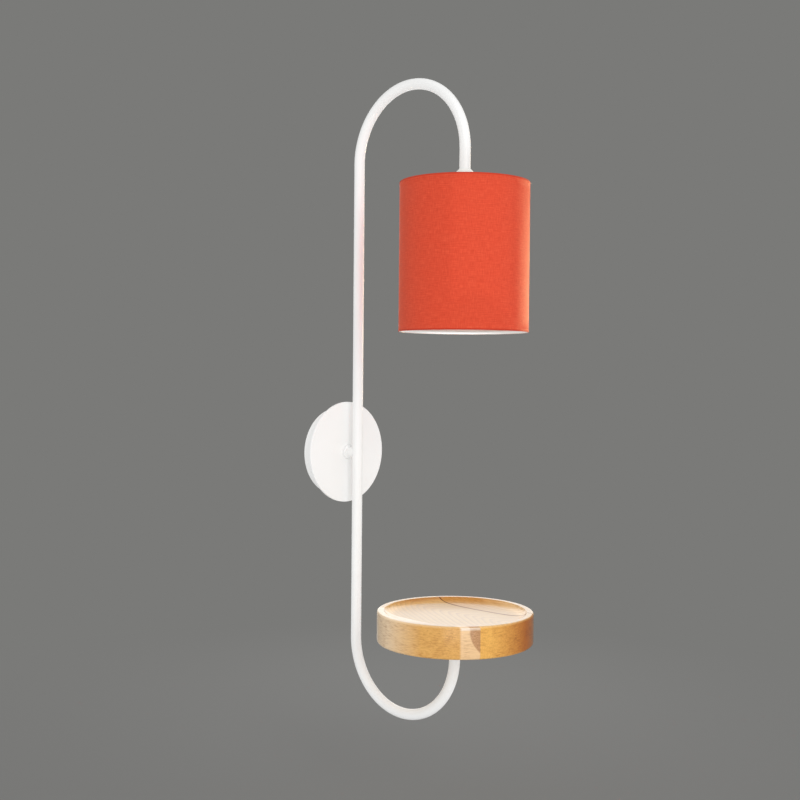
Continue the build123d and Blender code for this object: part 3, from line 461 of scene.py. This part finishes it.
for finish, names in finishes.items():
    for name in names:
        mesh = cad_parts[name].data
        mesh.materials.clear()
        mesh.materials.append(finish)


def smooth_piece(mesh, finish):
    """Put a mesh in the scene as a piece with this finish, smooth apart from its sharp edges."""
    mesh.shade_smooth()
    mesh.set_sharp_from_angle(angle=sharp_angle)
    mesh.materials.append(finish)
    piece = bpy.data.objects.new(mesh.name, mesh)
    bpy.context.scene.collection.objects.link(piece)
    return piece


def skin(name, rows, finish, loop=False):
    """A smooth piece over rows of points in mm. Each row is a closed loop, and the last row may meet the
    first. Its UVs run in metres along the rows and across them."""
    count = len(rows[0])
    faces = []
    for i in range(len(rows) if loop else len(rows) - 1):
        here = i * count
        beyond = (i + 1) % len(rows) * count
        for k in range(count):
            n = (k + 1) % count
            faces.append((here + k, here + n, beyond + n, beyond + k))
    mesh = bpy.data.meshes.new(name)
    mesh.from_pydata([Vector(point) / mm_per_metre for row in rows for point in row], [], faces)
    along, across = [0.0], [0.0]
    for k in range(count):
        step = Vector(rows[0][(k + 1) % count]) - Vector(rows[0][k])
        along.append(along[-1] + step.length / mm_per_metre)
    for i in range(len(rows)):
        step = Vector(rows[(i + 1) % len(rows)][0]) - Vector(rows[i][0])
        across.append(across[-1] + step.length / mm_per_metre)
    spread = mesh.uv_layers.new(name="spread")
    for face in mesh.polygons:
        i, k = divmod(face.index, count)
        for corner, uv in zip(face.loop_indices, ((k, i), (k + 1, i), (k + 1, i + 1), (k, i + 1))):
            spread.data[corner].uv = along[uv[0]], across[uv[1]]
    return smooth_piece(mesh, finish)


def ring_of(radius, height, reach, count):
    """Points round the upright line at y = -reach; radius is a number or a function of the turn."""
    points = []
    for k in range(count):
        turn = math.tau * k / count
        out = radius(turn) if callable(radius) else radius
        points.append((out * math.cos(turn), out * math.sin(turn) - reach, height))
    return points


def make_shade_cover():
    """The red cover: one width of cotton round the drum, rolled over both wire rings in narrow hems and
    lapped in an upright seam that faces the wall."""
    count = 240
    face_steps = 24
    lap_width = 12.0
    lap_thickness = 0.3
    lap_half = lap_width / 2 / shade_radius

    def lapped(radius):
        return lambda t: radius + (lap_thickness if abs(t - math.pi / 2) < lap_half else 0.0)

    # The hem's section as steps out from the drum's radius and in from its edge
    inside = [(-0.58, 0.5), (-0.5, 0.16), (-0.25, 0.0)]
    outside = [(0.0, 0.12), (0.12, 0.45), (0.14, 1.2), (0.14, 2.6), (0.1, 2.95), (-0.02, 3.15)]
    face_out, face_in = outside[-1]
    face_height = shade_top - shade_bottom - 2 * face_in
    face = [(face_out, shade_bottom + face_in + face_height * i / face_steps) for i in range(1, face_steps)]
    outer = [(out, shade_bottom + rise) for out, rise in outside] + face
    outer += [(out, shade_top - drop) for out, drop in reversed(outside)]
    rows = [ring_of(shade_radius + out, shade_bottom + rise, head_reach, count) for out, rise in inside]
    rows += [ring_of(lapped(shade_radius + out), height, head_reach, count) for out, height in outer]
    rows += [ring_of(shade_radius + out, shade_top - drop, head_reach, count)
             for out, drop in reversed(inside)]
    cover = skin("cotton_cover", rows, woven_cotton(), loop=True)
    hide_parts("shade_cover")
    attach(cover, "lamp")


def make_thread(name, node_name, body, finish, root, crest, wall):
    """A rolled screw thread in a node's place: the sleeve's radius swings from root to crest once each
    pitch, fading at both ends."""
    count = 96
    rings_per_pitch = 12
    fade_length = 2.0
    low, high = (corner[2] for corner in corners(node_name))
    steps = int((high - low) / (thread_pitch / rings_per_pitch))

    def radius_at(height, offset):
        fade = max(0.0, min(1.0, (height - low) / fade_length, (high - height) / fade_length))
        turned = math.tau * height / thread_pitch
        return lambda t: root + offset + (crest - root) * fade * (0.5 + 0.5 * math.cos(turned - t))

    heights = [low + (high - low) * i / steps for i in range(steps + 1)]
    outer = [ring_of(radius_at(z, 0.0), z, head_reach, count) for z in heights]
    inner = [ring_of(radius_at(z, -wall), z, head_reach, count) for z in reversed(heights)]
    sleeve = skin(name, outer + inner, finish, loop=True)
    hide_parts(node_name)
    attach(sleeve, body)


def make_weld_fillets():
    """Ground weld fillets under the powder coat: round the tube's end on the tray flange, and round the
    coped stub on the long leg."""
    count = 64
    fillet_size = 2.4
    fillet_steps = 6
    bead_radius = 0.7
    bead_steps = 10
    rows = []
    for i in range(fillet_steps + 1):
        turn = math.pi / 2 * i / fillet_steps
        radius = tube_radius + fillet_size - fillet_size * math.sin(turn)
        height = flange_bottom - fillet_size + fillet_size * math.cos(turn)
        rows.append(ring_of(radius, height, tray_reach, count))
    flange_weld = skin("flange_weld", rows, powder_coat)
    seam = []
    for k in range(count):
        turn = math.tau * k / count
        x, z = stub_radius * math.cos(turn), stub_radius * math.sin(turn)
        seam.append(Vector((x, math.sqrt(tube_radius ** 2 - x * x) - arm_standoff, z)))
    bead_rows = []
    for i in range(bead_steps):
        turn = math.tau * i / bead_steps
        outward, wallward = bead_radius * math.cos(turn), bead_radius * math.sin(turn)
        bead_rows.append([p + outward * Vector((p.x, 0, p.z)).normalized() + wallward * Vector((0, 1, 0))
                          for p in seam])
    stub_weld = skin("stub_weld", bead_rows, powder_coat, loop=True)
    for weld in (flange_weld, stub_weld):
        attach(weld, "lamp")


def bend(radius, height, size, start, stop):
    """Points on an arc of this size in a turned section, between two angles in degrees about a centre."""
    steps = 8
    turns = [math.radians(start + (stop - start) * i / steps) for i in range(steps + 1)]
    return [(radius + size * math.cos(t), height + size * math.sin(t)) for t in turns]


def tray_section():
    """The tray's outline as radii and heights, from its underside to its floor. It has a rounded foot and
    lip, and a dished recess that is steep at the rim and nearly flat in the middle."""
    underside_radius = 15.0
    rim_radius = 1.0
    dish_steps = 24
    dish_edge, dish_span = 0.996, 0.8
    flatness, steepness = 7, 0.55
    section = [(underside_radius, tray_bottom)]
    section += bend(tray_radius - foot_radius, tray_bottom + foot_radius, foot_radius, -90, 0)
    section += bend(tray_radius - lip_radius, tray_top - lip_radius, lip_radius, 0, 90)
    section += bend(recess_radius + rim_radius, tray_top - rim_radius, rim_radius, 90, 170)
    for i in range(dish_steps + 1):
        share = dish_edge - dish_span * (i / dish_steps) ** 2
        depth = recess_depth * (1 - share ** flatness) ** steepness
        section.append((recess_radius * share, tray_top - depth))
    return section


def make_tray_boards():
    """The tray's three boards, turned as one and parted at the glued joints."""
    count = 192
    rows = [ring_of(radius, height, tray_reach, count) for radius, height in tray_section()]
    for side, finish, cuts in (("left", left_board, [(left_joint, 1)]),
                               ("middle", middle_board, [(left_joint, -1), (right_joint, 1)]),
                               ("right", right_board, [(right_joint, -1)])):
        form = bmesh.new()
        loops = [[form.verts.new(Vector(point) / mm_per_metre) for point in row] for row in rows]
        for low, high in zip(loops, loops[1:]):
            for k in range(count):
                n = (k + 1) % count
                form.faces.new((low[k], low[n], high[n], high[k]))
        form.faces.new(reversed(loops[0]))
        form.faces.new(loops[-1])
        for joint, away in cuts:
            whole = form.verts[:] + form.edges[:] + form.faces[:]
            cut = bmesh.ops.bisect_plane(form, geom=whole, plane_co=(joint / mm_per_metre, 0, 0),
                                         plane_no=(away, 0, 0), clear_outer=True)["geom_cut"]
            bmesh.ops.edgeloop_fill(form, edges=[g for g in cut if isinstance(g, bmesh.types.BMEdge)])
        bmesh.ops.recalc_face_normals(form, faces=form.faces[:])
        mesh = bpy.data.meshes.new("turned_board_" + side)
        form.to_mesh(mesh)
        form.free()
        board = smooth_piece(mesh, finish)
        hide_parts("tray_board_" + side)
        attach(board, "lamp")


def make_painted_arm():
    """The bent tube, with close rings so that its bends shine evenly: down from the tray, round the lower
    bend, up the long leg, over the upper bend and down to the lampholder."""
    count = 64
    step_degrees = 2

    def half_circle(radius, height, start):
        turns = [start + math.radians(degrees) for degrees in range(0, 181, step_degrees)]
        middle = -arm_standoff - radius
        return [(radius * math.cos(t) + middle, radius * math.sin(t) + height, t) for t in turns]

    # Each ring's y, height and turn
    stations = [(-tray_reach, flange_bottom, math.pi)]
    stations += half_circle(lower_bend_radius, -lower_bend_depth, math.pi)
    stations += half_circle(upper_bend_radius, upper_bend_height, 0.0)
    stations.append((-head_reach, arm_top_end, math.pi))

    def sleeve(radius):
        around = [(radius * math.cos(math.tau * k / count), radius * math.sin(math.tau * k / count))
                  for k in range(count)]
        return [[(-b, y + a * math.cos(t), z + a * math.sin(t)) for a, b in around] for y, z, t in stations]

    outside = sleeve(tube_radius)
    inside = sleeve(tube_radius - tube_wall)
    arm = skin("painted_arm", outside + inside[::-1], powder_coat, loop=True)
    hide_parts("arm_tube")
    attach(arm, "lamp")


def make_cap_neck():
    """The lampholder cap's neck: a small cone that sleeves the tube's end and shows just above the shade."""
    count = 64
    # Steps out from the tube and up from its end, from the cone's top round its lower edge and back
    section = [(0.0, 2.0), (0.3, 1.95), (2.7, -0.4), (2.95, -0.85), (2.85, -1.35), (2.3, -2.4), (0.0, -0.1)]
    rows = [ring_of(tube_radius + out, arm_top_end + rise, head_reach, count) for out, rise in section]
    neck = skin("cap_neck", rows, moulded_plastic, loop=True)
    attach(neck, "lamp")


def make_threads():
    """The rolled threads of the bulb's cap and of the socket that takes it."""
    cap_sheet, cap_thread_depth = 0.3, 0.8
    socket_sheet, socket_thread_depth = 0.4, 0.9
    socket_root = socket_bore_radius + socket_sheet
    make_thread("bulb_thread", "bulb_cap", "bulb", rolled_aluminium,
                root=cap_radius - cap_thread_depth, crest=cap_radius, wall=cap_sheet)
    make_thread("socket_thread", "socket_shell", "lamp", drawn_brass,
                root=socket_root, crest=socket_root + socket_thread_depth, wall=socket_sheet)


make_shade_cover()
make_tray_boards()
make_painted_arm()
make_cap_neck()
make_threads()
make_weld_fillets()

# The studio's greys and its even light, as a level that a white surface would show
backdrop = colour("7A7A78")
light_level = 0.95
even_light = (light_level, light_level, light_level, 1)


def floor_finish():
    """Matt grey paper that keeps the lamp's shadow, fades into the grey surroundings further out and passes
    on the even light of the studio."""
    fade_begins, fade_ends = 0.3, 1.1
    finish, tree, shader = new_finish("grey_floor", Base_Color=colour("727270"), Roughness=0.9)
    rays = node(tree, "LightPath").outputs
    light = node(tree, "MixRGB", {"Fac": rays["Is Diffuse Ray"], "Color1": backdrop, "Color2": even_light})
    glow = node(tree, "Emission", {"Color": light, "Strength": 1.0})
    place = node(tree, "TexCoord").outputs["Object"]
    far = node(tree, "VectorMath", {0: place}, operation="LENGTH").outputs["Value"]
    fade = node(tree, "MapRange", {"Value": far, "From Min": fade_begins, "From Max": fade_ends},
                interpolation_type="SMOOTHSTEP")
    even = node(tree, "Math", {0: fade, 1: rays["Is Diffuse Ray"]}, operation="MAXIMUM")
    mix = node(tree, "MixShader", {0: even, 1: shader, 2: glow})
    tree.links.new(mix.outputs["Shader"], tree.nodes["Material Output"].inputs["Surface"])
    return finish


def make_floor():
    """A wide grey floor well below the lamp, with its sizes in metres."""
    half = 30
    drop = 0.12
    middle = -0.1
    mesh = bpy.data.meshes.new("floor")
    mesh.from_pydata([(-half, -half, 0), (half, -half, 0), (half, half, 0), (-half, half, 0)], [],
                     [(0, 1, 2, 3)])
    mesh.materials.append(floor_finish())
    floor = bpy.data.objects.new("floor", mesh)
    floor.location = (0, middle, cad_low.z - drop)
    bpy.context.scene.collection.objects.link(floor)


def make_surroundings():
    """Even white light from all round, with the grey backdrop shown to the camera and in reflections."""
    world = bpy.data.worlds.new("studio")
    bpy.context.scene.world = world
    world.use_nodes = True
    tree = world.node_tree
    rays = node(tree, "LightPath").outputs
    seen = node(tree, "Math", {0: rays["Is Camera Ray"], 1: rays["Is Glossy Ray"]}, operation="MAXIMUM")
    seen = node(tree, "Math", {0: seen, 1: rays["Is Transmission Ray"]}, operation="MAXIMUM")
    light = node(tree, "MixRGB", {"Fac": seen, "Color1": even_light, "Color2": backdrop})
    tree.links.new(light.outputs["Color"], tree.nodes["Background"].inputs["Color"])


def softbox(name, place, aim, width, height, watts, spread=180, tone="FFFFFF"):
    """A studio lamp at place, facing aim, which the camera doesn't see. A small spread, in degrees, narrows
    its beam. Places and sizes are in metres."""
    lamp = bpy.data.lights.new(name, "AREA")
    lamp.shape = "RECTANGLE"
    lamp.size = width
    lamp.size_y = height
    lamp.energy = watts
    lamp.spread = math.radians(spread)
    lamp.color = colour(tone)[:3]
    box = bpy.data.objects.new(name, lamp)
    box.location = place
    box.rotation_euler = (Vector(aim) - Vector(place)).to_track_quat("-Z", "Y").to_euler()
    box.visible_camera = False
    bpy.context.scene.collection.objects.link(box)


make_floor()
make_surroundings()
# The main light, from the front left and above
softbox("key_softbox", place=(-0.9, -2.05, 0.8), aim=(0, -0.15, 0.05), width=0.5, height=1.1, watts=8.0)
# A narrow warm beam on the shade's right side
softbox("right_softbox", place=(1.4, -0.15, 0.22), aim=(0.06, -0.2, 0.22), width=0.3, height=0.3, watts=0.15,
        spread=14, tone="FFD8A4")
# Light from the back right, on the tray and the tube
softbox("back_softbox", place=(1.05, 0.75, 0.15), aim=(0, -0.188, -0.1), width=1.0, height=1.0, watts=4.4)
# Light from low on the left, on the tray's side and up under the shade
softbox("low_softbox", place=(-0.85, -1.05, -0.32), aim=(0, -0.196, 0.1), width=0.9, height=0.5, watts=2.4)
# A small strip under the shade's mouth, for its white lining
softbox("lining_softbox", place=(0.032, -0.164, 0.07), aim=(0.06, -0.138, 0.16), width=0.1, height=0.02,
        watts=0.008, spread=60)


def make_camera():
    """A camera to the left of the lamp, at the height of its middle, as in the photograph."""
    place = (-0.966739, -1.004094, 0.092220)
    azimuth, elevation, roll = (math.radians(degrees) for degrees in (-47.0306, 1.2671, 0.4787))
    back = Vector((math.sin(azimuth) * math.cos(elevation), -math.cos(azimuth) * math.cos(elevation),
                   math.sin(elevation)))
    right = Vector((math.cos(azimuth), math.sin(azimuth), 0))
    up = back.cross(right)
    side = right * math.cos(roll) + up * math.sin(roll)
    top = up * math.cos(roll) - right * math.sin(roll)
    optics = bpy.data.cameras.new("camera")
    optics.lens = 52.517
    optics.sensor_width = 36.0
    camera = bpy.data.objects.new("camera", optics)
    camera.matrix_world = Matrix.Translation(place) @ Matrix((side, top, back)).transposed().to_4x4()
    bpy.context.scene.collection.objects.link(camera)
    bpy.context.scene.camera = camera


make_camera()
bpy.context.scene.view_settings.view_transform = "Standard"
